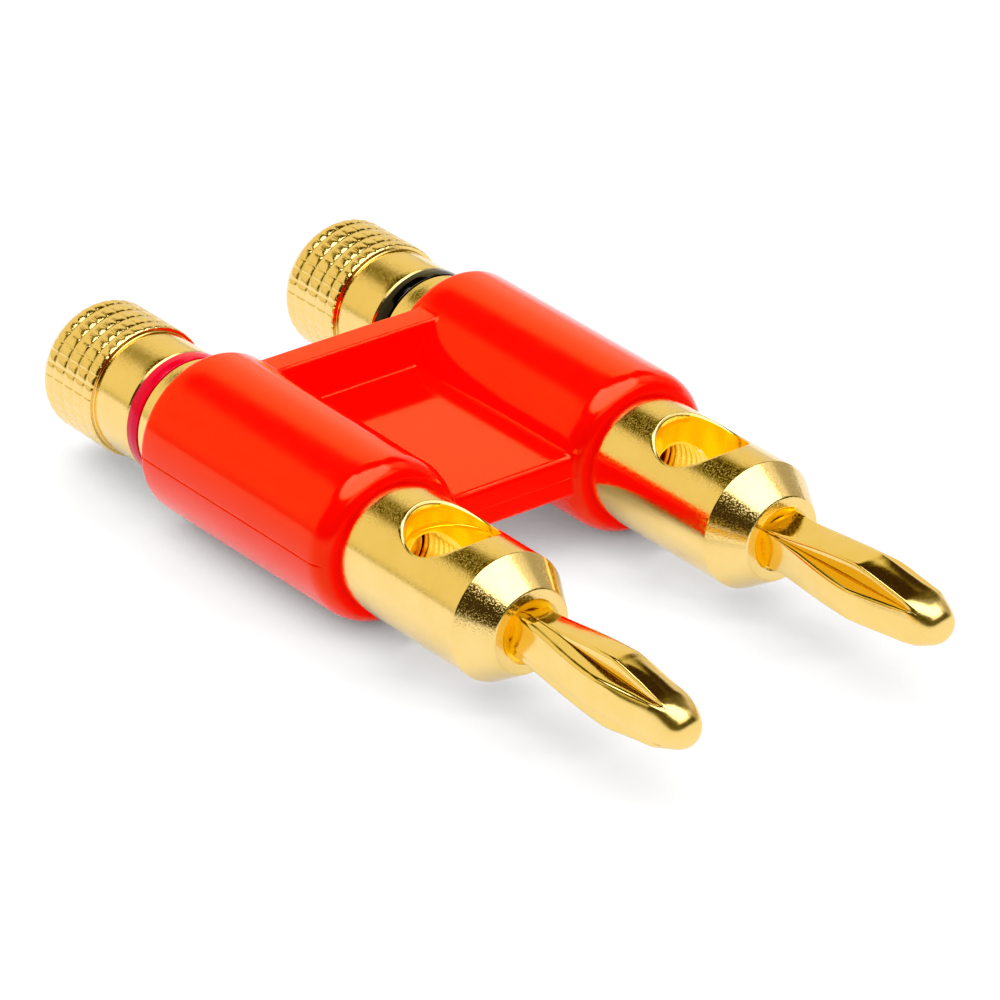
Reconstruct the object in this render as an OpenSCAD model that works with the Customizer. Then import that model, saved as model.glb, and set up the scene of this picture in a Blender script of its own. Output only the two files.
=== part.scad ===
// Dual banana plug: two gold-plated four-leaf plugs side by side in one
// moulded housing. Each plug has a cross hole for the wire and a rear
// thumbscrew with a coloured polarity ring that clamps the wire.
// The plugs lie along X with the pins towards +X; +Z is up.

/* [Housing] */
// Distance between the two plug axes
pitch = 19.05; // [19.05:0.05:20]
// Outer diameter of each barrel
barrel_d = 10.8; // [10.6:0.05:11.4]
// Length of each barrel
barrel_len = 19.4; // [18.5:0.1:21]
// Rounding of the barrel's front edge
front_round = 1.0; // [0.3:0.05:1.05]
// Rounding of the barrel's rear edge
rear_round = 0.8; // [0.3:0.05:0.9]
// Bore of the barrel behind the plug body, where the screw sleeve slides in
sleeve_bore_d = 8.6; // [8.5:0.05:8.8]
// Thickness of the web between the barrels
web_t = 2.85; // [2:0.05:4]
// How far the web stops short of the barrel's front face
web_front_gap = 0.6; // [0.2:0.05:3]
// How far the web's rear wall stops short of the barrel's rear face
web_rear_gap = 0.9; // [0.9:0.05:3]
// Thickness of the web's rear wall
rib_t = 2.05; // [1:0.05:4]
// Height of the web's rear wall, top to bottom
rib_h = 8.5; // [5:0.1:9]

/* [Plug body] */
// Diameter of the plug body
body_d = 8.3; // [8:0.02:8.4]
// Length of body standing out of the housing, up to its cone
body_out = 11.1; // [10:0.1:14]
// Length of body inside the housing
body_in = 10; // [8:0.1:11]
// Length of the front cone
cone_len = 2.3; // [1.5:0.1:4]
// Diameter of the flat ring at the cone's end
cone_tip_d = 5.4; // [4.6:0.05:6.5]
// Diameter of the counterbore that the contact comes out of
lip_bore_d = 4.2; // [3.6:0.05:4.4]
// Depth of that counterbore
lip_bore_depth = 0.95; // [0.5:0.05:1.5]
// Diameter of the wire hole across the body
wire_hole_d = 5.7; // [4:0.1:5.8]
// Distance of the wire hole's centre from the housing's front face
wire_hole_x = 5.75; // [5.5:0.05:6.5]
// Diameter of the screw's bore
screw_bore_d = 4.3; // [4.3:0.05:4.6]

/* [Spring contact] */
// Width of each leaf
leaf_w = 2.1; // [1.8:0.05:2.16]
// Half the width over the leaves where they are bent
leaf_knee = 2.16; // [1.9:0.02:2.3]
// Distance of the bend from the cone's end
knee_x = 8.2; // [7:0.1:10]
// Length of the contact in front of the cone's end
contact_out = 15.7; // [14:0.1:18]
// Turn of the near contact about its axis, in degrees
near_turn = -12; // [-45:1:45]
// Turn of the far contact about its axis, in degrees
far_turn = 8; // [-45:1:45]

/* [Thumbscrew] */
// Diameter of the knurled head
knob_d = 8.8; // [8.7:0.05:9.6]
// Length of the knurled head
knob_len = 5.8; // [5.6:0.1:7]
// Number of knurl flutes around the head
flutes = 36; // [24:1:36]
// Depth of the knurl
knurl_depth = 0.16; // [0.05:0.01:0.2]
// Diameter of the sleeve that slides into the housing
sleeve_d = 8.16; // [8:0.02:8.3]
// Length of the sleeve in front of the head
sleeve_len = 8.5; // [7.5:0.1:9]
// Diameter of the threaded shank, taken at its pitch line
shank_d = 4.2; // [4.1:0.02:4.24]
// Distance from the head's front edge to the shank's tip
shank_len = 26.4; // [24:0.1:26.5]
// Gap between the near head and the housing
near_out = 6.6; // [6.6:0.1:7.5]
// Gap between the far head and the housing
far_out = 7.0; // [6.6:0.1:7.5]

/* [Polarity ring] */
// Width of the ring
ring_w = 1.1; // [0.8:0.05:1.5]
// Distance of the ring's rear edge from the head's front edge
ring_x = 3.68; // [3:0.02:4]
// Diameter over the ring's dome
ring_d = 8.3; // [8.2:0.02:8.36]
// Diameter of the groove that holds the ring
groove_d = 7.1; // [6.4:0.1:7.4]

/* [Hidden] */

half = pitch / 2;
axis_z = barrel_d / 2;

// Stations along X before the origin is moved to the middle of the part
barrel_r0 = 0;
barrel_f0 = barrel_len;
cone_tip0 = barrel_f0 + body_out + cone_len;
tip0 = cone_tip0 + contact_out;
tail0 = barrel_r0 - max(near_out, far_out) - knob_len;
shift = -(tip0 + tail0) / 2;

barrel_r = barrel_r0 + shift;
barrel_f = barrel_f0 + shift;
body_r = barrel_f - body_in;
cone_base = barrel_f + body_out;
cone_tip = cone_tip0 + shift;
tip = tip0 + shift;
hole_x = barrel_f + wire_hole_x;
lip_floor = cone_tip - lip_bore_depth;

contact_root_r = 1.55;
contact_root_len = 2.6;
ring_clear = 0.05;
eps = 0.01;

red = [0.93, 0.10, 0.03];
gold = [0.90, 0.72, 0.36];
crimson = [0.80, 0.02, 0.17];
black = [0.05, 0.05, 0.055];

// A solid turned about the plug's axis from points [x, radius]
module turned(pts) {
    rotate([90, 0, 90])
        rotate_extrude($fn = 96)
            polygon([for (p = pts) [p[1], p[0]]]);
}

// A round hole along X
module bore(x0, x1, d) {
    translate([x0, 0, 0]) rotate([0, 90, 0])
        cylinder(d = d, h = x1 - x0, $fn = 96);
}

// Quarter round from angle a0 to a1 about [x, r]
function arc(x, r, q, a0, a1, n = 8) =
    [for (i = [0 : n]) let (a = a0 + (a1 - a0) * i / n) [x + q * cos(a), r + q * sin(a)]];

module on_axis(side) {
    translate([0, side * half, axis_z]) children();
}

module barrel() {
    r = barrel_d / 2;
    turned(concat([[barrel_r, 0]],
        arc(barrel_r + rear_round, r - rear_round, rear_round, 180, 90),
        arc(barrel_f - front_round, r - front_round, front_round, 90, 0),
        [[barrel_f, 0]]));
}

module housing() {
    x0 = barrel_r + web_rear_gap;
    x1 = barrel_f - web_front_gap;
    color(red)
    difference() {
        union() {
            for (s = [-1, 1]) on_axis(s) barrel();
            translate([x0, -half, axis_z - web_t / 2]) cube([x1 - x0, pitch, web_t]);
            translate([x0, -half, axis_z - rib_h / 2]) cube([rib_t, pitch, rib_h]);
        }
        for (s = [-1, 1]) on_axis(s) {
            bore(barrel_r - 1, body_r, sleeve_bore_d);
            bore(body_r - eps, barrel_f + 1, body_d);
        }
    }
}

module plug_body(side) {
    color(gold)
    on_axis(side) difference() {
        turned([[body_r, 0], [body_r, body_d / 2 - 0.3], [body_r + 0.3, body_d / 2],
                [cone_base, body_d / 2], [cone_tip, cone_tip_d / 2], [cone_tip, 0]]);
        bore(body_r - 1, hole_x, screw_bore_d);
        bore(lip_floor, cone_tip + 1, lip_bore_d);
        bore(lip_floor - contact_root_len, lip_floor + eps, 2 * contact_root_r);
        translate([hole_x, 0, -body_d]) cylinder(d = wire_hole_d, h = 2 * body_d, $fn = 96);
    }
}

// Half the width over the contact where it leaves the body
root_half = 1.36;
// Half the width over the leaves where they run into the nose
nose_half = 1.33;

// Height of a leaf's outer face above the plug's axis at station x: it swells
// smoothly from the root to the bend, then runs straight to the nose
function leaf_top(x) =
    let (k = cone_tip + knee_x, n = tip - 1.8, s = max(0, (x - lip_floor) / (k - lip_floor)))
    x <= k
        ? root_half + (leaf_knee - root_half) * (1 - cos(180 * pow(s, 1.1))) / 2
        : leaf_knee - (leaf_knee - nose_half) * (x - k) / (n - k);

module spring_contact(side, turn) {
    core = leaf_w / 2 + 0.05;
    n = tip - 1.8;
    steps = 14;
    xs = concat([for (i = [0 : steps]) lip_floor + (cone_tip + knee_x - lip_floor) * i / steps], [n]);
    color(gold)
    on_axis(side) rotate([turn, 0, 0]) {
        // round root, pressed into the body, and the square base of the leaves
        bore(lip_floor - contact_root_len, lip_floor + 0.2, 2 * contact_root_r);
        intersection() {
            bore(lip_floor, lip_floor + 1.2, 3.5);
            translate([lip_floor - 1, -root_half, -root_half]) cube([4, 2 * root_half, 2 * root_half]);
        }
        for (a = [0, 90, 180, 270]) rotate([a, 0, 0])
            rotate([90, 0, 0])
                translate([0, 0, -leaf_w / 2])
                    linear_extrude(leaf_w)
                        polygon(concat([[lip_floor, core - 0.3]],
                            [for (x = xs) [x, leaf_top(x)]],
                            [[n + 0.3, leaf_top(n)], [n + 0.3, core - 0.3], [n - 0.7, core - 0.3],
                             [n - 2.0, core], [lip_floor + 2.6, core], [lip_floor + 1.0, core - 0.3]]));
        // closed, domed nose
        intersection() {
            turned(concat([[n - 0.9, 0], [n - 0.9, 1.72]],
                [for (i = [0 : 10]) [n + 1.8 * sin(9 * i), 1.66 * cos(9 * i)]]));
            translate([n - 1, -nose_half, -nose_half]) cube([4, 2 * nose_half, 2 * nose_half]);
        }
    }
}

// The knurled head, sleeve and shank are turned in one piece
module thumbscrew(side, out) {
    k = barrel_r - out;
    r = knob_d / 2;
    c = (knob_len - 1.0) / 5;
    color(gold)
    on_axis(side) difference() {
        turned(concat([[k - knob_len, 0]],
            arc(k - knob_len + 1.0, r - 1.0, 1.0, 180, 90),
            [for (i = [4 : -1 : 1]) for (j = [-1, 0, 1])
                [k - i * c + j * 0.14, r - (j == 0 ? knurl_depth : 0)]],
            [[k - 0.08, r], [k, r - 0.08], [k, sleeve_d / 2 + 0.12], [k + 0.12, sleeve_d / 2],
             [k + ring_x - ring_clear, sleeve_d / 2], [k + ring_x - ring_clear, groove_d / 2],
             [k + ring_x + ring_w + ring_clear, groove_d / 2], [k + ring_x + ring_w + ring_clear, sleeve_d / 2],
             [k + sleeve_len - 0.3, sleeve_d / 2], [k + sleeve_len, sleeve_d / 2 - 0.3],
             [k + sleeve_len, shank_d / 2], [k + shank_len - 0.4, shank_d / 2],
             [k + shank_len, shank_d / 2 - 0.4], [k + shank_len, 0]]));
        for (i = [0 : flutes - 1]) rotate([360 * i / flutes, 0, 0])
            translate([k - knob_len + 0.5, 0, r - knurl_depth])
                rotate([45, 0, 0]) cube([knob_len + 0.2, 1, 1]);
    }
}

module polarity_ring(side, out, col) {
    x = barrel_r - out + ring_x;
    color(col)
    on_axis(side)
        turned(concat([[x, groove_d / 2 + ring_clear]], [[x, sleeve_d / 2 - 0.02]],
            [for (i = [1 : 5]) [x + ring_w * i / 6, sleeve_d / 2 - 0.02 + (ring_d - sleeve_d + 0.04) / 2 * sin(180 * i / 6)]],
            [[x + ring_w, sleeve_d / 2 - 0.02], [x + ring_w, groove_d / 2 + ring_clear]]));
}

module near_plug_body() { plug_body(-1); }
module far_plug_body() { plug_body(1); }
module near_spring_contact() { spring_contact(-1, near_turn); }
module far_spring_contact() { spring_contact(1, far_turn); }
module near_thumbscrew() { thumbscrew(-1, near_out); }
module far_thumbscrew() { thumbscrew(1, far_out); }
module near_polarity_ring() { polarity_ring(-1, near_out, crimson); }
module far_polarity_ring() { polarity_ring(1, far_out, black); }

housing();
near_plug_body();
far_plug_body();
near_spring_contact();
far_spring_contact();
near_thumbscrew();
far_thumbscrew();
near_polarity_ring();
far_polarity_ring();
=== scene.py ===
import math

import bmesh
import bpy
import numpy as np
from mathutils import Matrix, Vector


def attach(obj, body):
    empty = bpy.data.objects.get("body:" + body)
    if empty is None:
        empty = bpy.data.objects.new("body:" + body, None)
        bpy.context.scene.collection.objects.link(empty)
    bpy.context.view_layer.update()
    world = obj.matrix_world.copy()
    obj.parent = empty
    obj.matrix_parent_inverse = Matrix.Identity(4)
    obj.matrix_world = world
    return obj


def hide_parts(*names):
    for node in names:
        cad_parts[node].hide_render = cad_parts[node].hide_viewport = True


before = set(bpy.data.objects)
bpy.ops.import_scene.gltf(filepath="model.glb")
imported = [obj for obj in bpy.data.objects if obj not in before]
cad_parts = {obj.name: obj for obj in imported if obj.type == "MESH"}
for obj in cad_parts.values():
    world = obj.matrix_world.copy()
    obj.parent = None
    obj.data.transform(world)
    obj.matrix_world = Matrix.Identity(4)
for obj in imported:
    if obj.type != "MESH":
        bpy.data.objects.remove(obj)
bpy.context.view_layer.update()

# ---------------------------------------------------------------- measures
# All shapes below are made in millimetres in the plugs' own frame: x along
# the plugs towards the pins, y across, z up from the plugs' axes. The row
# frame is that frame moved by SHIFT.
SHIFT = np.array([-7.45, 0.0, 5.4])
S = 9.525
MM = 0.001

BARREL_R0, BARREL_F = -10.2, 9.0
R_REAR, R_FRONT = 5.40, 5.33
R_BODY = 4.15
HOLE_X, HOLE_R = 14.75, 2.85
CONE_X, CONE_TIP = 20.10, 22.40
LIP_FLOOR = 21.45
KNEE_X, TIP_X = 30.8, 38.1
PITCH_T = 0.5
KNOB = {-1: -17.0, 1: -17.4}


# ---------------------------------------------------------------- mesh tools
class Mesh:
    """Collects patches of points and faces, in millimetres."""

    def __init__(self):
        self.v, self.f, self.n = [], [], 0

    def add(self, pts, faces):
        pts = np.asarray(pts, float).reshape(-1, 3)
        self.v.append(pts)
        self.f.extend([tuple(int(i) + self.n for i in f) for f in faces])
        self.n += len(pts)

    def grid(self, g, wrap=False, flip=False):
        """g is an array of rows by columns by 3."""
        g = np.asarray(g, float)
        m, n = g.shape[:2]
        i = np.arange(m - 1)[:, None]
        j = np.arange(n if wrap else n - 1)[None, :]
        k = (j + 1) % n
        a, b, c, d = i * n + j, i * n + k, (i + 1) * n + k, (i + 1) * n + j
        q = np.stack([a, d, c, b] if flip else [a, b, c, d], -1).reshape(-1, 4)
        self.v.append(g.reshape(-1, 3))
        self.f.extend(map(tuple, (q + self.n).tolist()))
        self.n += m * n

    def make(self, name, weld=1e-4, angle=38.0, recalc=True, shift=(0, 0, 0)):
        pts = (np.concatenate(self.v) + np.asarray(shift) + SHIFT) * MM
        me = bpy.data.meshes.new(name)
        me.from_pydata(pts.tolist(), [], self.f)
        bm = bmesh.new()
        bm.from_mesh(me)
        bmesh.ops.remove_doubles(bm, verts=bm.verts, dist=weld * MM)
        bmesh.ops.dissolve_degenerate(bm, edges=bm.edges, dist=1e-9)
        if recalc:
            bmesh.ops.recalc_face_normals(bm, faces=bm.faces)
        bm.to_mesh(me)
        bm.free()
        for p in me.polygons:
            p.use_smooth = True
        me.set_sharp_from_angle(angle=math.radians(angle))
        me.validate()
        ob = bpy.data.objects.new(name, me)
        bpy.context.scene.collection.objects.link(ob)
        w = ob.modifiers.new("normals", "WEIGHTED_NORMAL")
        w.keep_sharp = True
        w.weight = 60
        return ob


def rounded(pts, n=6):
    """A polyline of (x, r, q): corners with q > 0 become arcs of radius q."""
    out = []
    for i, p in enumerate(pts):
        q = p[2] if len(p) > 2 else 0
        if q <= 0 or i in (0, len(pts) - 1):
            out.append((p[0], p[1]))
            continue
        a, b, c = (np.array(k[:2], float) for k in (pts[i - 1], p, pts[i + 1]))
        u, v = a - b, c - b
        lu, lv = np.hypot(*u), np.hypot(*v)
        u, v = u / lu, v / lv
        ang = math.acos(max(-1, min(1, float(u @ v))))
        t = min(q / math.tan(ang / 2), 0.49 * lu if i > 1 else 0.98 * lu, 0.49 * lv if i < len(pts) - 2 else 0.98 * lv)
        q2 = t * math.tan(ang / 2)
        mid = u + v
        mid = mid / np.hypot(*mid)
        cen = b + mid * (q2 / math.sin(ang / 2))
        p0, p1 = b + u * t - cen, b + v * t - cen
        a0 = math.atan2(p0[1], p0[0])
        da = (math.atan2(p1[1], p1[0]) - a0 + math.pi) % (2 * math.pi) - math.pi
        out += [(cen[0] + q2 * math.cos(a0 + da * k / n), cen[1] + q2 * math.sin(a0 + da * k / n)) for k in range(n + 1)]
    return out


def split_long(prof, most):
    """Puts points in so that no stretch is longer than most."""
    out = [prof[0]]
    for a, b in zip(prof, prof[1:]):
        k = max(1, int(math.ceil(math.hypot(b[0] - a[0], b[1] - a[1]) / most)))
        out += [(a[0] + (b[0] - a[0]) * i / k, a[1] + (b[1] - a[1]) * i / k) for i in range(1, k + 1)]
    return out


def turned(prof, segs, angles=None):
    """Grid of a profile of (x, r) turned about the x axis. Angle 0 is +y, 90 is +z."""
    t = np.arange(segs) * 2 * math.pi / segs if angles is None else np.asarray(angles)
    p = np.asarray(prof, float)
    g = np.empty((len(p), len(t), 3))
    g[:, :, 0] = p[:, 0:1]
    g[:, :, 1] = p[:, 1:2] * np.cos(t)[None, :]
    g[:, :, 2] = p[:, 1:2] * np.sin(t)[None, :]
    return g


def smooth(a, b, x):
    t = np.clip((x - a) / (b - a), 0, 1)
    return t * t * (3 - 2 * t)


# ---------------------------------------------------------------- housing
def barrel(mesh, side):
    prof = rounded([
        (-1.0, 4.152), (-1.0, 4.30), (BARREL_R0, 4.30, 0.25),
        (BARREL_R0, R_REAR, 0.85), (BARREL_F - 1.6, R_FRONT)], 10)
    # the front is rounded further along the barrel than across it
    prof += [(BARREL_F - 1.6 + 1.6 * math.sin(t), R_FRONT - 1.15 + 1.15 * math.cos(t)) for t in np.linspace(0, math.pi / 2, 17)[1:]]
    prof += [(BARREL_F, 4.152), (BARREL_F - 0.2, 4.152), (BARREL_F - 0.8, 4.152), (-1.0, 4.152)]
    prof = split_long(prof, 1.2)
    # angles are closer together at the mould's parting line
    out = math.pi if side < 0 else 0.0
    ang = [2 * math.pi * i / 256 for i in range(256)]
    for c in (0.0, math.pi):
        ang += [c + d for d in (-0.020, -0.0155, -0.0115, -0.008, -0.004, 0.004, 0.008, 0.0115, 0.0155, 0.020)]
    ang = np.array(sorted(set(round(a % (2 * math.pi), 6) for a in ang)))
    g = turned(prof, 0, ang)
    # the two halves of the mould leave a fine groove along the parting line
    d = np.abs((ang - out + math.pi) % (2 * math.pi) - math.pi)
    ridge = -0.055 * np.exp(-(d / 0.0085) ** 2)
    r = np.hypot(g[:, :, 1], g[:, :, 2])
    outer = smooth(4.9, 5.25, r)
    k = 1 + ridge[None, :] * outer / np.maximum(r, 1e-6)
    g[:, :, 1] *= k
    g[:, :, 2] *= k
    g[:, :, 1] += side * S
    mesh.grid(g, wrap=True)


def web(mesh):
    """Plate and rear wall between the barrels: one outline in x and z, carried
    across from barrel to barrel with a small fillet at each barrel."""
    x0, x1, xr = -9.5, 8.4, -7.45
    t, hr = 1.42, 4.25
    out = rounded([(x0, 0.0), (x0, hr, 0.28), (xr + 0.06, hr, 0.28), (xr, t, 0.3),
                   (x1, t, 0.45), (x1 + 0.03, 0.0)], 8)
    out = split_long(out, 0.6)
    low = [(x, -z) for x, z in out[::-1]]
    # the flash line on the front edge
    ring = out[:-1] + [(x1 + 0.01, 0.035), (x1 + 0.055, 0.0), (x1 + 0.01, -0.035)] + low[1:-1]
    p = np.array(ring)
    nrm = np.roll(p, -1, 0) - np.roll(p, 1, 0)
    nrm = np.stack([nrm[:, 1], -nrm[:, 0]], 1)
    nrm /= np.maximum(np.hypot(nrm[:, 0], nrm[:, 1]), 1e-9)[:, None]
    if (nrm * (p - p.mean(0))).sum() < 0:
        nrm = -nrm
    def to_barrel(x, z):
        t = np.clip((x - BARREL_F + 1.6) / 1.6, 0, 1)
        r = 5.36 - 1.15 * (1 - np.sqrt(1 - t * t))
        return S - np.sqrt(r ** 2 - np.clip(np.abs(z), 0, 5.0) ** 2)

    q = 0.22
    offs = [0.0, 0.02, 0.048, 0.083, 0.124, 0.172, q]
    rows = []
    for sgn in (-1, 1):
        part = []
        for k, o in enumerate(offs):
            up = q - math.sqrt(max(0.0, q * q - (q - o) ** 2))
            pp = p + nrm * up
            y = to_barrel(pp[:, 0], pp[:, 1]) - o
            part.append(np.stack([pp[:, 0], sgn * np.maximum(y, 0), pp[:, 1]], 1))
        deep = to_barrel(p[:, 0], p[:, 1]) + 0.6
        pp = p + nrm * q
        part.insert(0, np.stack([pp[:, 0], sgn * deep, pp[:, 1]], 1))
        rows.append(part)
    lo, hi = rows[0], rows[1][::-1]
    a, b = lo[-1], hi[0]
    mid = [a + (b - a) * i / 10 for i in range(1, 10)]
    mesh.grid(np.array(lo + mid + hi), wrap=True)


def housing():
    m = Mesh()
    for side in (-1, 1):
        barrel(m, side)
    web(m)
    return m.make("housing_moulding", weld=1e-5, angle=42)


# ---------------------------------------------------------------- plug body
def tri(p):
    """Thread profile from -1 in the valley to 1 on the crest, slightly rounded."""
    w = np.abs((p % 1.0) * 2 - 1) * 2 - 1
    return np.clip(w * 1.25, -1, 1)


def thread_r(x, beta, mean, depth):
    return mean + depth * tri(x / PITCH_T - beta / (2 * math.pi))


def patch(edge, inner, m):
    """Rings from an outer closed outline to an inner one, both n by 2."""
    t = np.linspace(0, 1, m + 1)[:, None, None]
    return inner[None] + (edge - inner)[None] * t


def plug_body(side):
    m = Mesh()
    segs = 192
    n_th, n_x = 64, 24
    half = math.radians(60)
    xa, xb = HOLE_X - 3.6, HOLE_X + 3.6
    th = np.linspace(-half, half, n_th + 1)
    xs = np.linspace(xa, xb, n_x + 1)
    step = side < 0

    # cylinder behind and in front of the wire hole, cone, lip and counterbore
    m.grid(turned([(-1.0, 2.2), (-1.0, 3.9), (-0.75, R_BODY), (4.0, R_BODY), (8.0, R_BODY), (xa, R_BODY)], segs), wrap=True)
    front = rounded([(xb, R_BODY), (CONE_X, R_BODY, 0.16), (CONE_TIP, 2.74, 0.20), (CONE_TIP, 2.10, 0.10),
                     (CONE_TIP - 0.12, 1.93, 0.04), (CONE_TIP - 0.27, 1.47, 0.03), (CONE_TIP - 0.37, 1.28), (LIP_FLOOR - 0.4, 1.20)], 8)
    m.grid(turned(split_long(front, 0.5), segs), wrap=True)

    # the two side strips between the openings
    k0 = segs // 4 + n_th // 2
    a_side = np.arange(k0, k0 + segs // 2 - n_th + 1) * 2 * math.pi / segs
    for turn in (0.0, math.pi):
        m.grid(turned([(x, R_BODY) for x in xs], 0, a_side + turn))

    # the outline of each opening's patch, as x and arc length across
    u = R_BODY * th
    e = [(xb, v) for v in u[:-1]] + [(x, u[-1]) for x in xs[::-1][:-1]] + \
        [(xa, v) for v in u[::-1][:-1]] + [(x, u[0]) for x in xs[:-1]]
    e = np.array(e)
    alpha = np.arctan2(e[:, 1] / (R_BODY * half), (e[:, 0] - HOLE_X) / 3.6)
    order = np.argsort(alpha)
    e, alpha = e[order], alpha[order]
    rim = HOLE_R + 0.17

    def on_body(r, al):
        y = r * np.sin(al)
        return np.stack([HOLE_X + r * np.cos(al), R_BODY * np.arcsin(y / R_BODY)], 1)

    inner = on_body(rim, alpha)
    rings = patch(e, inner, 10)
    r_low = 2.72 if step else HOLE_R
    zlim = 2.33
    for up in (1, -1):
        th_r = rings[..., 1] / R_BODY
        g = np.stack([rings[..., 0], R_BODY * np.sin(th_r), up * R_BODY * np.cos(th_r)], -1)
        m.grid(g, wrap=True)
        # chamfer and the wall down to the screw's bore
        rows = []
        for r, drop in ((rim, 0.0), (rim - 0.03, 0.012), (HOLE_R + 0.03, 0.125), (HOLE_R, 0.165)):
            y = r * np.sin(alpha)
            z = np.sqrt(R_BODY ** 2 - y ** 2) - drop
            rows.append(np.stack([HOLE_X + r * np.cos(alpha), y, up * z], 1))
        ztop = rows[-1][:, 2] * up
        if step and up > 0:
            levels = [(HOLE_R, 0.6), (HOLE_R, 0.2), (HOLE_R, 0.02), (HOLE_R - 0.02, 0.0), (r_low + 0.02, 0.0), (r_low, -0.02)]
            zs = 2.40
        else:
            levels = [(HOLE_R, 0.6), (HOLE_R, 0.2), (HOLE_R, 0.02), (0.5 * (HOLE_R + r_low), 0.0), (r_low, -0.02)]
            zs = 2.37
        for r, fr in levels:
            z = zs + (ztop - zs) * fr if fr >= 0 else np.full_like(ztop, zlim)
            rows.append(np.stack([HOLE_X + r * np.cos(alpha), r * np.sin(alpha), up * z], 1))
        m.grid(np.array(rows), wrap=True)

    # the middle of the wall: plain all round except behind, where the screw's bore comes in
    n_z = 20
    zz = np.linspace(-zlim, zlim, n_z + 1)
    back = np.where(np.abs(np.abs(alpha) - math.pi) <= math.radians(66))[0]
    pos = back[alpha[back] > 0]
    neg = back[alpha[back] <= 0]
    run = np.concatenate([alpha[pos], alpha[neg] + 2 * math.pi])
    first, last = run[0], run[-1]
    plain = np.concatenate([alpha[neg[-1]:pos[0] + 1]])
    g = np.empty((len(zz), len(plain), 3))
    g[..., 0] = HOLE_X + r_low * np.cos(plain)[None]
    g[..., 1] = r_low * np.sin(plain)[None]
    g[..., 2] = zz[:, None]
    m.grid(g)
    # outline of the back patch in y and z
    yr = r_low * np.sin(run)
    e2 = [(y, zlim) for y in yr[:-1]] + [(yr[-1], z) for z in zz[::-1][:-1]] + \
         [(y, -zlim) for y in yr[::-1][:-1]] + [(yr[0], z) for z in zz[:-1]]
    e2 = np.array(e2)
    beta = np.arctan2(e2[:, 1], e2[:, 0])
    order = np.argsort(beta)
    e2, beta = e2[order], beta[order]

    def wall_x(y):
        return HOLE_X - np.sqrt(np.maximum(r_low ** 2 - y ** 2, 0))

    rb = np.full_like(beta, 2.12)
    for _ in range(8):
        rb = 0.5 * rb + 0.5 * thread_r(wall_x(rb * np.cos(beta)), beta, 2.12, 0.06)
    rb = rb + 0.0
    ring_in = np.stack([rb * np.cos(beta), rb * np.sin(beta)], 1)
    rr = patch(e2, ring_in, 5)
    g = np.stack([wall_x(rr[..., 0]), rr[..., 0], rr[..., 1]], -1)
    m.grid(g, wrap=True)
    # the threaded bore
    x_in = wall_x(ring_in[:, 0])
    near = np.arange(0, 5.0, PITCH_T / 12)
    far = np.linspace(5.0, 1.0, 1)
    deep = np.concatenate([near, far, np.linspace(5.5, 11.0, 34)])
    rows = []
    for d in deep:
        x = np.maximum(x_in - d, -0.95)
        r = thread_r(x, beta, 2.12, 0.06) if d > 0 else rb
        rows.append(np.stack([x, r * np.cos(beta), r * np.sin(beta)], 1))
    m.grid(np.array(rows), wrap=True)
    return m.make(("near" if side < 0 else "far") + "_body", weld=2e-4, angle=40, shift=(0, side * S, 0), recalc=True)


# ---------------------------------------------------------------- spring contact
def curve(table):
    """A smooth curve through (x, value) pairs that does not overshoot them."""
    p = np.array(table, float)
    x, y = p[:, 0], p[:, 1]
    h = np.diff(x)
    d = np.diff(y) / h
    m = np.zeros_like(x)
    m[0], m[-1] = d[0], d[-1]
    for i in range(1, len(x) - 1):
        if d[i - 1] * d[i] > 0:
            w1, w2 = 2 * h[i] + h[i - 1], h[i] + 2 * h[i - 1]
            m[i] = (w1 + w2) / (w1 / d[i - 1] + w2 / d[i])

    def at(v):
        v = min(max(float(v), x[0]), x[-1])
        i = int(min(max(np.searchsorted(x, v) - 1, 0), len(x) - 2))
        t = (v - x[i]) / h[i]
        return float(y[i] * (1 + 2 * t) * (1 - t) ** 2 + m[i] * h[i] * t * (1 - t) ** 2
                     + y[i + 1] * t * t * (3 - 2 * t) + m[i + 1] * h[i] * t * t * (t - 1))
    return at


# distance of a leaf's face from the pin's axis, and half the leaf's width
LEAF_F = curve([(18.5, 1.30), (22.0, 1.36), (22.4, 1.38), (23.5, 1.43), (25.3, 1.60), (27.0, 1.82), (28.7, 2.02),
                (30.0, 2.12), (30.7, 2.15), (31.4, 2.09), (33.0, 1.86), (34.3, 1.65), (35.4, 1.48), (36.3, 1.34), (37.0, 1.23)])
LEAF_H = curve([(18.5, 1.26), (22.0, 1.28), (23.5, 1.24), (25.5, 1.17), (28.0, 1.08), (30.0, 1.04), (32.0, 1.07),
                (34.0, 1.10), (36.0, 1.14), (37.0, 1.14)])
# where two leaves meet on the near pin: the gap lies a little off the corner
GAP_U = curve([(18.5, 0.80), (22.4, 0.80), (24.0, 0.86), (26.0, 0.95), (28.0, 1.02), (30.0, 1.07), (34.0, 1.10), (36.0, 1.13)])
GAP_W = curve([(18.5, 1.30), (22.4, 1.36), (24.0, 1.42), (26.0, 1.40), (28.0, 1.33), (30.0, 1.28), (32.0, 1.22), (34.0, 1.18), (36.0, 1.14)])
# the nose: a blunt conic that runs on from the leaves' slope to the tip
NOSE_T = np.linspace(0.0, 1.0, 161)
NOSE_A, NOSE_W, NOSE_TIP = (35.6, 1.50), 1.45, 37.38
_k0, _k1, _k2 = (1 - NOSE_T) ** 2, 2 * NOSE_W * NOSE_T * (1 - NOSE_T), NOSE_T ** 2
NOSE_PX = (_k0 * NOSE_A[0] + (_k1 + _k2) * NOSE_TIP) / (_k0 + _k1 + _k2)
NOSE_PR = (_k0 * NOSE_A[1] + _k1 * (NOSE_A[1] - 0.148 * (NOSE_TIP - NOSE_A[0]))) / (_k0 + _k1 + _k2)


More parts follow.
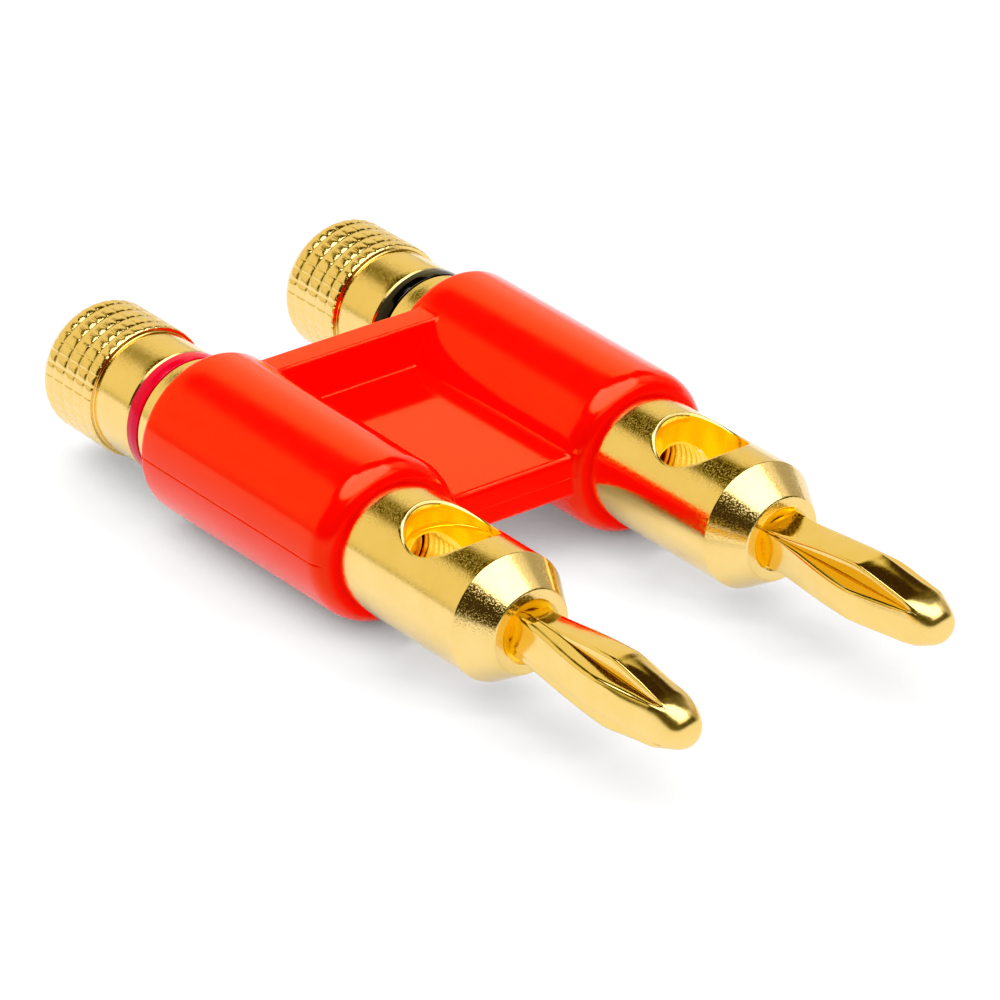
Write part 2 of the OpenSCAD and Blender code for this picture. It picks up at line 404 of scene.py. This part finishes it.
def leaf_quarter(x, side):
    """A quarter of the pin's cross section as (u, w): from the middle of one
    leaf's face, out along w, over the gap to the middle of the next one's, along u."""
    f, h = LEAF_F(x), LEAF_H(x)
    near = side < 0
    lean = math.tan(math.radians(6.0 if near else -4.0)) * float(smooth(22.5, 27.0, np.array(x)))
    crown = 0.04 + 0.03 * float(smooth(23.0, 28.0, np.array(x)))
    # rounder across in front of the knee
    more = (0.17 if near else 0.06) * float(smooth(30.9, 33.2, np.array(x)))
    crown += more
    # the faces are drawn in where the pin enters the bore
    dip = 0.12 * (1 - float(smooth(22.1, 22.6, np.array(x))))

    def bow(t):
        k = 1 - min(1.0, (t / h) ** 2)
        return f - 0.55 * more + (crown - dip) * k

    if near:
        ub, wb = GAP_U(x), GAP_W(x)
        ue, q1, q2, hc = ub - 0.02, 0.24, 0.30, h - 0.04
        slit = 0.05
    else:
        ub = wb = h
        ue, q1, q2, hc = h, 0.19, 0.19, h
        slit = 0.05 - 0.035 * float(smooth(23.0, 25.5, np.array(x)))
    face = bow(ue) - lean * ue
    wb = min(wb, face - 0.02)
    other = bow(hc) + lean * hc
    ub = min(ub, other - 0.03)
    q1 = min(q1, 0.6 * (face - wb))
    pts = []
    for i in range(8):
        u = (ue - q1) * i / 7
        pts.append((u, bow(u) - lean * u))
    z = pts[-1][1]
    pts += [(ue - q1 + q1 * math.sin(t), z - q1 + q1 * math.cos(t)) for t in np.linspace(0, math.pi / 2, 7)[1:]]
    a0 = pts[-1]
    pts += [(a0[0] + (ub - a0[0]) * k, a0[1] + (wb - a0[1]) * k) for k in (0.3, 0.6, 0.85, 1.0)]
    d = 0.7071
    la = (ub + slit * d, wb - slit * d)
    pts += [(ub - 0.02, wb - 0.03), (ub - 0.26, wb - 0.26), (la[0] - 0.26, la[1] - 0.26), (la[0] - 0.03, la[1] - 0.02)]
    c = (other, hc)
    run = math.hypot(c[0] - la[0], c[1] - la[1])
    q2 = min(q2, 0.45 * run)
    p1 = (c[0] + (la[0] - c[0]) * q2 / run, c[1] + (la[1] - c[1]) * q2 / run)
    w2 = hc - q2
    p2 = (bow(w2) + lean * w2, w2)
    pts += [(la[0] + (p1[0] - la[0]) * k, la[1] + (p1[1] - la[1]) * k) for k in (0.0, 0.25, 0.5, 0.75)]
    for t in np.linspace(0, 1, 8):
        pts.append(tuple((1 - t) ** 2 * np.array(p1) + 2 * t * (1 - t) * np.array(c) + t * t * np.array(p2)))
    for i in range(1, 7):
        w = w2 * (1 - i / 7)
        pts.append((bow(w) + lean * w, w))
    return np.array(pts)


def nose_section(x, ang):
    a = float(np.interp(x, NOSE_PX, NOSE_PR)) + 0.148 * max(0.0, NOSE_A[0] - x)
    p = 3.3 - 1.3 * float(smooth(35.3, 37.0, np.array(x)))
    r = a / (np.abs(np.cos(ang)) ** p + np.abs(np.sin(ang)) ** p) ** (1 / p)
    return np.stack([r * np.sin(ang), r * np.cos(ang)], 1)


def contact(side, turn):
    m = Mesh()
    ref = leaf_quarter(35.3, side)
    ang = np.maximum.accumulate(np.arctan2(ref[:, 0], ref[:, 1]))
    even = np.arange(len(ang)) * (math.pi / 2) / len(ang)
    xs = np.concatenate([[18.9, 19.4, 20.2], np.linspace(20.9, 22.0, 6), np.linspace(22.1, 23.2, 14), np.linspace(23.3, 29.2, 52),
                         np.linspace(29.3, 32.2, 44), np.linspace(32.3, 34.9, 22), np.linspace(35.0, 36.3, 26),
                         np.interp(np.linspace(0.29, 1.0, 30), NOSE_T, NOSE_PX)])
    rows = []
    for x in xs:
        e = leaf_quarter(x, side)
        s = float(smooth(35.0, 36.2, np.array(x)))
        if s > 0:
            late = ang + (even - ang) * float(smooth(35.9, 37.1, np.array(x)))
            e = e * (1 - s) + nose_section(x, late) * s
        loop = []
        for k in range(4):
            u, w = e[:, 0], e[:, 1]
            for _ in range(k):
                u, w = w, -u
            # u points to the left as seen from the pin's tip, w up
            loop.append(np.stack([-u, w], 1))
        loop = np.concatenate(loop)
        rows.append(np.column_stack([np.full(len(loop), x), loop]))
    g = np.array(rows)
    start = g[0].copy()
    start[:, 1:] = 0
    g = np.concatenate([start[None], g])
    ca, sa = math.cos(math.radians(turn)), math.sin(math.radians(turn))
    y, z = g[..., 1].copy(), g[..., 2].copy()
    g[..., 1], g[..., 2] = y * ca - z * sa, y * sa + z * ca
    # neither pin is quite straight: the near one droops a little, the far one rises
    g[..., 2] += (-0.010 if side < 0 else 0.019) * np.maximum(0, g[..., 0] - 22.4)
    m.grid(g, wrap=True)
    return m.make(("near" if side < 0 else "far") + "_pin", weld=1e-5, angle=40, shift=(0, side * S, 0))


# ---------------------------------------------------------------- thumbscrew
GROOVES = np.array([-5.30, -4.18, -3.04, -1.92, -0.86, 0.0])
N_FLUTE = 36


def knurl(x, t):
    """How far the head's surface lies below its largest radius: columns of
    small cushions, parted by round grooves and by straight ones along the axis."""
    i = np.clip(np.searchsorted(GROOVES, x) - 1, 0, len(GROOVES) - 2)
    u = np.clip(2 * (x - GROOVES[i]) / (GROOVES[i + 1] - GROOVES[i]) - 1, -1, 1)
    v = np.abs(((t * N_FLUTE / (2 * math.pi)) + 0.5) % 1.0 - 0.5) * 2
    v = 1 - v
    du = 0.078 * np.abs(u) ** 3.2
    dv = 0.064 * np.abs(v) ** 3.0
    d = np.sqrt(du[:, None] ** 2 + dv[None, :] ** 2)
    on = smooth(-5.62, -5.05, x)
    return 0.01 + (d - 0.01) * on[:, None]


def thumbscrew(side):
    m = Mesh()
    k = KNOB[side]
    r, ln = 4.40, 5.8
    segs = N_FLUTE * 12
    t = np.arange(segs) * 2 * math.pi / segs
    prof = rounded([(-ln, 0.0), (-ln, r, 1.15), (0.0, r)], 14)
    prof = np.array(split_long(prof, 0.085))
    # fewer rows on the flat rear face
    keep = [i for i in range(len(prof)) if prof[i, 1] > 2.6 or i % 6 == 0]
    prof = prof[keep]
    g = turned([(k + x, rr) for x, rr in prof], segs)
    depth = knurl(prof[:, 0], t)
    rad = np.hypot(g[..., 1], g[..., 2])
    kf = (rad - depth) / np.maximum(rad, 1e-6)
    kf[rad < 3.0] = 1
    g[..., 1] *= kf
    g[..., 2] *= kf
    m.grid(g, wrap=True)
    # the head's flat front, with a small fillet into the sleeve
    edge = g[-1]
    r0 = np.hypot(edge[:, 1], edge[:, 2])
    rows = []
    for f, dx in ((1.0, 0.0), (0.9, 0.010), (0.5, 0.012), (0.0, 0.014)):
        want = 4.16 + (r0 - 4.16) * f
        rows.append((want, dx))
    for t in np.linspace(0, math.pi / 2, 7)[1:]:
        rows.append((np.full_like(r0, 4.16 - 0.08 * math.sin(t)), 0.014 + 0.08 * (1 - math.cos(t))))
    out = []
    for want, dx in rows:
        e = edge.copy()
        e[:, 0] = k + dx
        e[:, 1] *= want / r0
        e[:, 2] *= want / r0
        out.append(e)
    m.grid(np.array(out), wrap=True)
    # sleeve with the ring's groove, in front of the head
    sl = rounded([(0.094, 4.08), (3.48, 4.08, 0.03), (3.60, 3.97, 0.03), (3.62, 3.55), (4.83, 3.55), (4.85, 4.04, 0.02), (4.90, 4.08, 0.03),
                  (8.2, 4.08, 0.05), (8.5, 3.78, 0.05), (8.5, 2.0)], 4)
    m.grid(turned([(k + x, rr) for x, rr in split_long(sl, 0.6)], 216), wrap=True)
    # threaded shank
    tb = np.linspace(0, 2 * math.pi, 64, endpoint=False)
    xs = np.concatenate([np.arange(k + 8.4, k + 26.4, PITCH_T / 8), [k + 26.4]])
    rows = []
    for x in xs:
        rr = thread_r(np.full_like(tb, x), tb, 1.96, 0.09)
        rr = np.minimum(rr, 1.75 + (k + 26.4 - x) * 1.0)
        rows.append(np.stack([np.full_like(tb, x), rr * np.cos(tb), rr * np.sin(tb)], 1))
    rows.append(np.stack([np.full_like(tb, k + 26.4), 0 * tb, 0 * tb], 1))
    m.grid(np.array(rows), wrap=True)
    return m.make(("near" if side < 0 else "far") + "_screw", weld=1e-4, angle=50, shift=(0, side * S, 0))


def ring(side):
    m = Mesh()
    k = KNOB[side]
    a, w = k + 3.70, 1.08
    prof = rounded([(a, 3.60), (a, 4.13, 0.06), (a + w * 0.5, 4.145, 0.3), (a + w, 4.11, 0.07), (a + w, 3.60), (a, 3.60)], 6)
    m.grid(turned(prof, 216), wrap=True)
    return m.make(("near" if side < 0 else "far") + "_ring", weld=1e-5, angle=50, shift=(0, side * S, 0))


# ---------------------------------------------------------------- materials
def nodes_for(name):
    mat = bpy.data.materials.new(name)
    mat.use_nodes = True
    nt = mat.node_tree
    b = nt.nodes["Principled BSDF"]
    return mat, nt, b


def add(nt, kind, **values):
    n = nt.nodes.new(kind)
    for k, v in values.items():
        if k in n.inputs:
            n.inputs[k].default_value = v
        else:
            setattr(n, k, v)
    return n


def plastic(name, base, dark, rough, speck, tint, glow=0.0, gloss=0.5, flat=0.0, painted_glow=0.0):
    """Moulded plastic: slight change of colour and gloss, a faint ripple from
    the mould, light carried a little way through the colour, and, if asked for, a painted glow of the base colour."""
    mat, nt, b = nodes_for(name)
    tc = add(nt, "ShaderNodeTexCoord")
    n1 = add(nt, "ShaderNodeTexNoise", Scale=220.0, Detail=4.0, Roughness=0.6)
    nt.links.new(tc.outputs["Object"], n1.inputs["Vector"])
    ramp = add(nt, "ShaderNodeValToRGB")
    ramp.color_ramp.elements[0].position = 0.35
    ramp.color_ramp.elements[0].color = (*dark, 1)
    ramp.color_ramp.elements[1].position = 0.65
    ramp.color_ramp.elements[1].color = (*base, 1)
    nt.links.new(n1.outputs["Fac"], ramp.inputs["Fac"])
    nt.links.new(ramp.outputs["Color"], b.inputs["Base Color"])
    n2 = add(nt, "ShaderNodeTexNoise", Scale=900.0, Detail=3.0)
    nt.links.new(tc.outputs["Object"], n2.inputs["Vector"])
    mr = add(nt, "ShaderNodeMapRange")
    mr.inputs["From Min"].default_value = 0.3
    mr.inputs["From Max"].default_value = 0.7
    mr.inputs["To Min"].default_value = rough * 0.85
    mr.inputs["To Max"].default_value = rough * 1.2
    nt.links.new(n2.outputs["Fac"], mr.inputs["Value"])
    nt.links.new(mr.outputs["Result"], b.inputs["Roughness"])
    if flat > 0:
        # the recess between the barrels came off a better polished part of the mould
        sp = add(nt, "ShaderNodeSeparateXYZ")
        nt.links.new(tc.outputs["Object"], sp.inputs[0])
        off = add(nt, "ShaderNodeMath", operation="ABSOLUTE")
        nt.links.new(sp.outputs["Y"], off.inputs[0])
        mid = add(nt, "ShaderNodeMapRange", interpolation_type="SMOOTHSTEP")
        mid.inputs["From Min"].default_value = 0.0040
        mid.inputs["From Max"].default_value = 0.0046
        mid.inputs["To Min"].default_value = flat
        mid.inputs["To Max"].default_value = 1.0
        nt.links.new(off.outputs[0], mid.inputs["Value"])
        mul = add(nt, "ShaderNodeMath", operation="MULTIPLY")
        nt.links.new(mr.outputs["Result"], mul.inputs[0])
        nt.links.new(mid.outputs["Result"], mul.inputs[1])
        nt.links.new(mul.outputs[0], b.inputs["Roughness"])
    n3 = add(nt, "ShaderNodeTexNoise", Scale=260.0, Detail=1.0)
    nt.links.new(tc.outputs["Object"], n3.inputs["Vector"])
    bump = add(nt, "ShaderNodeBump", Strength=speck, Distance=0.00004)
    nt.links.new(n3.outputs["Fac"], bump.inputs["Height"])
    nt.links.new(bump.outputs["Normal"], b.inputs["Normal"])
    b.inputs["IOR"].default_value = 1.5
    b.inputs["Specular IOR Level"].default_value = gloss
    b.inputs["Specular Tint"].default_value = (*tint, 1)
    if painted_glow > 0:
        # painted glow: the base colour glows as if lit, more of it on the plain front faces, which also get less gloss
        ahead = add(nt, "ShaderNodeSeparateXYZ")
        nt.links.new(tc.outputs["Normal"], ahead.inputs[0])
        plain = add(nt, "ShaderNodeMapRange", interpolation_type="SMOOTHSTEP")
        plain.inputs["From Min"].default_value = 0.72
        plain.inputs["From Max"].default_value = 0.94
        nt.links.new(ahead.outputs["X"], plain.inputs["Value"])
        for a0, a1, socket in ((painted_glow, painted_glow * 2.2, "Emission Strength"), (gloss, gloss * 0.25, "Specular IOR Level")):
            way = add(nt, "ShaderNodeMapRange")
            way.inputs["To Min"].default_value = a0
            way.inputs["To Max"].default_value = a1
            nt.links.new(plain.outputs["Result"], way.inputs["Value"])
            nt.links.new(way.outputs["Result"], b.inputs[socket])
        b.inputs["Emission Color"].default_value = (*base, 1)
    if glow > 0:
        b.inputs["Subsurface Weight"].default_value = glow
        b.inputs["Subsurface Radius"].default_value = (1.0, 0.06, 0.03)
        b.inputs["Subsurface Scale"].default_value = 0.0022
    return mat


def gold(name, base, tint, rough, grain, marks, cone=0.0, lip_dull_and_glow=0.0, nose=0.0):
    """Gold plate: slight colour change, fine satin grain, and faint marks that
    run round the axis the piece was turned on; the hole, the bore and the lip also get a painted brighter colour and a
    painted glow."""
    mat, nt, b = nodes_for(name)
    b.inputs["Metallic"].default_value = 1.0
    tc = add(nt, "ShaderNodeTexCoord")
    n1 = add(nt, "ShaderNodeTexNoise", Scale=350.0, Detail=5.0, Roughness=0.65)
    nt.links.new(tc.outputs["Object"], n1.inputs["Vector"])
    ramp = add(nt, "ShaderNodeValToRGB")
    ramp.color_ramp.elements[0].position = 0.3
    ramp.color_ramp.elements[0].color = (*tint, 1)
    ramp.color_ramp.elements[1].position = 0.7
    ramp.color_ramp.elements[1].color = (*base, 1)
    nt.links.new(n1.outputs["Fac"], ramp.inputs["Fac"])
    nt.links.new(ramp.outputs["Color"], b.inputs["Base Color"])
    n2 = add(nt, "ShaderNodeTexNoise", Scale=5200.0, Detail=3.0, Roughness=0.6)
    nt.links.new(tc.outputs["Object"], n2.inputs["Vector"])
    mr = add(nt, "ShaderNodeMapRange")
    mr.inputs["From Min"].default_value = 0.3
    mr.inputs["From Max"].default_value = 0.7
    mr.inputs["To Min"].default_value = rough * 0.8
    mr.inputs["To Max"].default_value = rough * 1.25
    nt.links.new(n2.outputs["Fac"], mr.inputs["Value"])
    # the drilled hole, the tapped bore and the recessed lip get a brighter, yellower base colour, painted in for
    # light bounced inside them, and are duller where no tool has burnished them
    sp = add(nt, "ShaderNodeSeparateXYZ")
    nt.links.new(tc.outputs["Object"], sp.inputs[0])

    def calc(op, p, q=0.0):
        n = add(nt, "ShaderNodeMath", operation=op)
        for i, v in enumerate((p, q)):
            if isinstance(v, (int, float)):
                n.inputs[i].default_value = v
            else:
                nt.links.new(v, n.inputs[i])
        return n.outputs[0]

    def far_from(p, q):
        return calc("SQRT", calc("ADD", calc("MULTIPLY", p, p), calc("MULTIPLY", q, q)))

    def between(v, lo, hi):
        return calc("MULTIPLY", calc("GREATER_THAN", v, (lo + float(SHIFT[0])) * MM), calc("LESS_THAN", v, (hi + float(SHIFT[0])) * MM))

    dx = calc("SUBTRACT", sp.outputs["X"], (HOLE_X + float(SHIFT[0])) * MM)
    dy = calc("SUBTRACT", calc("ABSOLUTE", sp.outputs["Y"]), S * MM)
    dz = calc("SUBTRACT", sp.outputs["Z"], float(SHIFT[2]) * MM)
    axis = far_from(dy, dz)
    hole = calc("LESS_THAN", far_from(dx, dy), (HOLE_R + 0.012) * MM)
    bore = calc("MULTIPLY", calc("LESS_THAN", axis, 2.25 * MM), between(sp.outputs["X"], HOLE_X - 5.2, HOLE_X - 1.0))
    fade = add(nt, "ShaderNodeMapRange", interpolation_type="SMOOTHSTEP")
    fade.inputs["From Min"].default_value = (CONE_TIP + 0.12 + float(SHIFT[0])) * MM
    fade.inputs["From Max"].default_value = (CONE_TIP + 0.32 + float(SHIFT[0])) * MM
    fade.inputs["To Min"].default_value = 1.0
    fade.inputs["To Max"].default_value = 0.0
    nt.links.new(sp.outputs["X"], fade.inputs["Value"])
    lip = calc("MULTIPLY", calc("MULTIPLY", calc("LESS_THAN", axis, 1.97 * MM), between(sp.outputs["X"], CONE_TIP - 0.29, CONE_TIP + 0.5)), fade.outputs["Result"])
    painted_colour_mask = calc("MAXIMUM", calc("MAXIMUM", hole, bore), lip)
    painted_hollow_colour = add(nt, "ShaderNodeMix", data_type="RGBA")
    nt.links.new(painted_colour_mask, painted_hollow_colour.inputs[0])
    nt.links.new(ramp.outputs["Color"], painted_hollow_colour.inputs[6])
    painted_hollow_colour.inputs[7].default_value = (1.0, 0.71, 0.10, 1)
    painted_bore_colour = add(nt, "ShaderNodeMix", data_type="RGBA")
    nt.links.new(bore, painted_bore_colour.inputs[0])
    nt.links.new(painted_hollow_colour.outputs[2], painted_bore_colour.inputs[6])
    painted_bore_colour.inputs[7].default_value = (1.0, 0.84, 0.46, 1)
    nt.links.new(painted_bore_colour.outputs[2], b.inputs["Base Color"])
    tip = add(nt, "ShaderNodeMapRange", interpolation_type="SMOOTHSTEP")
    tip.inputs["From Min"].default_value = (34.6 + float(SHIFT[0])) * MM
    tip.inputs["From Max"].default_value = (36.2 + float(SHIFT[0])) * MM
    tip.inputs["To Max"].default_value = nose
    nt.links.new(sp.outputs["X"], tip.inputs["Value"])
    dull = calc("ADD", mr.outputs["Result"], calc("MAXIMUM", calc("MULTIPLY", bore, 0.16), calc("MULTIPLY", lip, lip_dull_and_glow)))
    nt.links.new(calc("ADD", dull, tip.outputs["Result"]), b.inputs["Roughness"])
    # painted glow in these hollows, in place of light bounced between their close walls: orange in the hole and lip,
    # paler in the bore
    painted_glow_colour = add(nt, "ShaderNodeMix", data_type="RGBA")
    nt.links.new(bore, painted_glow_colour.inputs[0])
    painted_glow_colour.inputs[6].default_value = (1.0, 0.47, 0.008, 1)
    painted_glow_colour.inputs[7].default_value = (1.0, 0.66, 0.10, 1)
    nt.links.new(painted_glow_colour.outputs[2], b.inputs["Emission Color"])
    painted_hollow_glow = calc("MAXIMUM", calc("MAXIMUM", calc("MULTIPLY", hole, 0.20), calc("MULTIPLY", bore, 0.30)), calc("MULTIPLY", lip, lip_dull_and_glow * 0.35))
    nt.links.new(painted_hollow_glow, b.inputs["Emission Strength"])
    # marks: fine along x, drawn out across it
    mp = add(nt, "ShaderNodeMapping")
    mp.inputs["Scale"].default_value = (9.0, 1.0, 1.0)
    nt.links.new(tc.outputs["Object"], mp.inputs["Vector"])
    n4 = add(nt, "ShaderNodeTexNoise", Scale=1100.0, Detail=3.0, Roughness=0.6)
    nt.links.new(mp.outputs["Vector"], n4.inputs["Vector"])
    bump1 = add(nt, "ShaderNodeBump", Strength=marks, Distance=0.00002)
    nt.links.new(n4.outputs["Fac"], bump1.inputs["Height"])
    n3 = add(nt, "ShaderNodeTexNoise", Scale=9500.0, Detail=2.0, Roughness=0.6)
    nt.links.new(tc.outputs["Object"], n3.inputs["Vector"])
    peak = add(nt, "ShaderNodeMapRange", interpolation_type="SMOOTHSTEP")
    peak.inputs["From Min"].default_value = 0.50
    peak.inputs["From Max"].default_value = 0.72
    nt.links.new(n3.outputs["Fac"], peak.inputs["Value"])
    bump = add(nt, "ShaderNodeBump", Strength=grain, Distance=0.00002)
    # the cone was left coarser than the rest
    coarse = calc("GREATER_THAN", sp.outputs["X"], (CONE_X + 0.05 + float(SHIFT[0])) * MM)
    nt.links.new(calc("ADD", calc("MULTIPLY", coarse, cone), grain), bump.inputs["Strength"])
    nt.links.new(peak.outputs["Result"], bump.inputs["Height"])
    nt.links.new(bump1.outputs["Normal"], bump.inputs["Normal"])
    nt.links.new(bump.outputs["Normal"], b.inputs["Normal"])
    return mat


# the housing's plastic is given a painted glow of its own red
RED = plastic("housing_plastic", (1.0, 0.010, 0.0004), (0.97, 0.008, 0.0003), 0.135, 0.06, (1.0, 0.88, 0.46), 0.35, 0.55, 0.65, 0.12)
CRIMSON = plastic("ring_crimson", (0.80, 0.003, 0.040), (0.70, 0.002, 0.032), 0.18, 0.05, (1.0, 0.5, 0.6))
BLACK = plastic("ring_black", (0.004, 0.004, 0.005), (0.003, 0.003, 0.004), 0.10, 0.08, (1.0, 0.9, 0.8))
# both golds get the painted colour and the painted glow in the hole, the bore and the lip
SATIN = gold("gold_plate", (0.95, 0.69, 0.27), (0.92, 0.64, 0.22), 0.12, 0.15, 0.10, 0.17, 0.34)
BRIGHT = gold("gold_polished", (0.95, 0.68, 0.25), (0.92, 0.63, 0.18), 0.10, 0.05, 0.03, 0.0, 0.10, 0.13)

# ---------------------------------------------------------------- the object
PLACES = [
    (housing(), "plug", "housing", "housing_plastic", RED),
    (plug_body(-1), "plug", "near_plug_body", "gold_plate", SATIN),
    (plug_body(1), "plug", "far_plug_body", "gold_plate", SATIN),
    (contact(-1, -12), "plug", "near_spring_contact", "gold_polished", BRIGHT),
    (contact(1, 8), "plug", "far_spring_contact", "gold_polished", BRIGHT),
    (thumbscrew(-1), "near_screw", "near_thumbscrew", "gold_plate", SATIN),
    (thumbscrew(1), "far_screw", "far_thumbscrew", "gold_plate", SATIN),
    (ring(-1), "near_ring", "near_polarity_ring", "ring_crimson", CRIMSON),
    (ring(1), "far_ring", "far_polarity_ring", "ring_black", BLACK),
]
for ob, body, node, slot, mat in PLACES:
    ob.data.materials.append(mat)
    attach(ob, body)
    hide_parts(node)

# ---------------------------------------------------------------- floor, light, camera
me = bpy.data.meshes.new("floor")
me.from_pydata([(-3, -3, 0), (3, -3, 0), (3, 3, 0), (-3, 3, 0)], [], [(0, 1, 2, 3)])
floor = bpy.data.objects.new("floor", me)
bpy.context.scene.collection.objects.link(floor)
fm, fnt, fb = nodes_for("floor_white_painted_shadow")
fb.inputs["Base Color"].default_value = (0.06, 0.06, 0.06, 1)
fb.inputs["Roughness"].default_value = 0.7
fb.inputs["Specular IOR Level"].default_value = 0.1
fb.inputs["Emission Color"].default_value = (1, 1, 1, 1)
# the sheet glows evenly like lit paper; a painted shadow, from ambient occlusion, dims the glow close to what stands
# on it
ao = add(fnt, "ShaderNodeAmbientOcclusion", samples=2)
ao.inputs["Distance"].default_value = 0.0075
painted_shadow = add(fnt, "ShaderNodeMapRange")
painted_shadow.inputs["From Max"].default_value = 0.5
painted_shadow.inputs["To Min"].default_value = 0.03
painted_shadow.inputs["To Max"].default_value = 0.97
fnt.links.new(ao.outputs["AO"], painted_shadow.inputs["Value"])
fnt.links.new(painted_shadow.outputs["Result"], fb.inputs["Emission Strength"])
me.materials.append(fm)

# painted glows on the housing, the gold and the floor: seen where a ray meets them, but not sought out as lamps
for mat in (RED, SATIN, BRIGHT, fm):
    mat.cycles.emission_sampling = "NONE"

# a white studio: a broad soft light overhead, pale walls behind the object and
# to its right, and the dim side of the room where the camera stands
world = bpy.data.worlds.new("studio")
bpy.context.scene.world = world
world.use_nodes = True
WT = world.node_tree
BG = WT.nodes["Background"]


def w_math(op, a, b=0.0):
    n = add(WT, "ShaderNodeMath", operation=op)
    for i, v in enumerate((a, b)):
        if isinstance(v, (int, float)):
            n.inputs[i].default_value = v
        else:
            WT.links.new(v, n.inputs[i])
    return n.outputs[0]


def w_step(v, lo, hi):
    n = add(WT, "ShaderNodeMapRange", interpolation_type="SMOOTHSTEP")
    WT.links.new(v, n.inputs["Value"])
    n.inputs["From Min"].default_value = lo
    n.inputs["From Max"].default_value = hi
    return n.outputs["Result"]


def w_not(v):
    return w_math("SUBTRACT", 1.0, v)


def w_tint(v, colour):
    n = add(WT, "ShaderNodeVectorMath", operation="SCALE")
    n.inputs[0].default_value = colour
    WT.links.new(v, n.inputs["Scale"])
    return n.outputs[0]


def w_sum(a, b):
    n = add(WT, "ShaderNodeVectorMath", operation="ADD")
    WT.links.new(a, n.inputs[0])
    WT.links.new(b, n.inputs[1])
    return n.outputs[0]


tcw = add(WT, "ShaderNodeTexCoord")
sep = add(WT, "ShaderNodeSeparateXYZ")
WT.links.new(tcw.outputs["Generated"], sep.inputs[0])
height = sep.outputs["Z"]
around = w_math("ARCTAN2", sep.outputs["Y"], sep.outputs["X"])


def sin_d(d):
    return math.sin(math.radians(d))


rad = math.radians
# the overhead light stops short of the wall behind and to the right
short = w_step(around, rad(112), rad(126))
top = w_math("ADD", w_math("MULTIPLY", w_step(height, sin_d(53), sin_d(59)), w_not(short)),
             w_math("MULTIPLY", w_step(height, sin_d(63.5), sin_d(70)), short))
below = w_not(top)
wall = w_math("ADD", w_step(around, rad(131), rad(137)), w_step(w_math("MULTIPLY", around, -1.0), rad(112), rad(130)))
side_r = w_math("MULTIPLY", w_step(around, rad(62), rad(82)), w_not(w_step(around, rad(106), rad(112))))
dim_r = w_math("MULTIPLY", w_step(around, rad(106), rad(112)), w_not(w_step(around, rad(131), rad(137))))
front = w_math("SUBTRACT", w_math("SUBTRACT", w_not(wall), side_r), dim_r)
low_wall = w_not(w_step(height, sin_d(39.5), sin_d(43.0)))
# the wall is dimmer close to the ground
low_wall = w_math("MULTIPLY", low_wall, w_math("ADD", w_math("MULTIPLY", w_step(height, sin_d(1.5), sin_d(9)), 0.36), 0.64))
lift = w_math("ADD", w_math("MULTIPLY", w_step(height, sin_d(31), sin_d(40)), 0.5), 0.45)
low_dim = w_math("ADD", w_math("MULTIPLY", w_not(w_step(height, sin_d(22), sin_d(28))), 0.75), 0.06)
skirt = w_math("ADD", w_math("MULTIPLY", w_not(w_step(height, sin_d(1), sin_d(8))), 0.85), 0.07)
# the overhead light reaches further down in front of the plugs
hood = w_math("MULTIPLY", w_math("MULTIPLY", w_step(around, rad(-50), rad(-36)), w_not(w_step(around, rad(56), rad(70)))),
              w_math("MULTIPLY", w_step(height, sin_d(37), sin_d(44)), 1.25))
total = w_tint(top, (3.2, 3.2, 3.2))
for v, colour in ((w_math("MULTIPLY", wall, w_math("ADD", w_math("MULTIPLY", low_wall, 0.94), 0.06)), (0.93, 0.84, 0.52)),
                  (w_math("MULTIPLY", side_r, lift), (1.0, 0.97, 0.90)),
                  (w_math("MULTIPLY", dim_r, low_dim), (1.0, 0.95, 0.85)),
                  (w_math("MULTIPLY", front, skirt), (1.0, 1.0, 1.0)),
                  (hood, (1.0, 1.0, 1.0))):
    total = w_sum(total, w_tint(w_math("MULTIPLY", v, below), colour))
WT.links.new(total, BG.inputs["Color"])
BG.inputs["Strength"].default_value = 1.0

cam_d = bpy.data.cameras.new("camera")
cam = bpy.data.objects.new("camera", cam_d)
bpy.context.scene.collection.objects.link(cam)
back = Vector((0.70295, -0.53921, 0.46380)).normalized()
right = Vector((0.60866, 0.79343, 0.0)).normalized()
up = back.cross(right).normalized()
rot = Matrix((right, up, back)).transposed()
at = (Vector((288.2068, -215.7403, 184.8449)) + Vector(SHIFT)) * MM
cam.matrix_world = Matrix.Translation(at) @ rot.to_4x4()
cam_d.sensor_width = 36.0
cam_d.lens = 236.07
cam_d.clip_start = 0.01
cam_d.clip_end = 20
bpy.context.scene.camera = cam
bpy.context.scene.view_settings.view_transform = "Standard"
bpy.context.scene.view_settings.look = "None"
# a little more depth in the darkest tones
bpy.context.scene.view_settings.use_curve_mapping = True
CM = bpy.context.scene.view_settings.curve_mapping
for x, y in ((0.03, 0.010), (0.08, 0.066), (0.20, 0.198)):
    CM.curves[3].points.new(x, y)
CM.update()
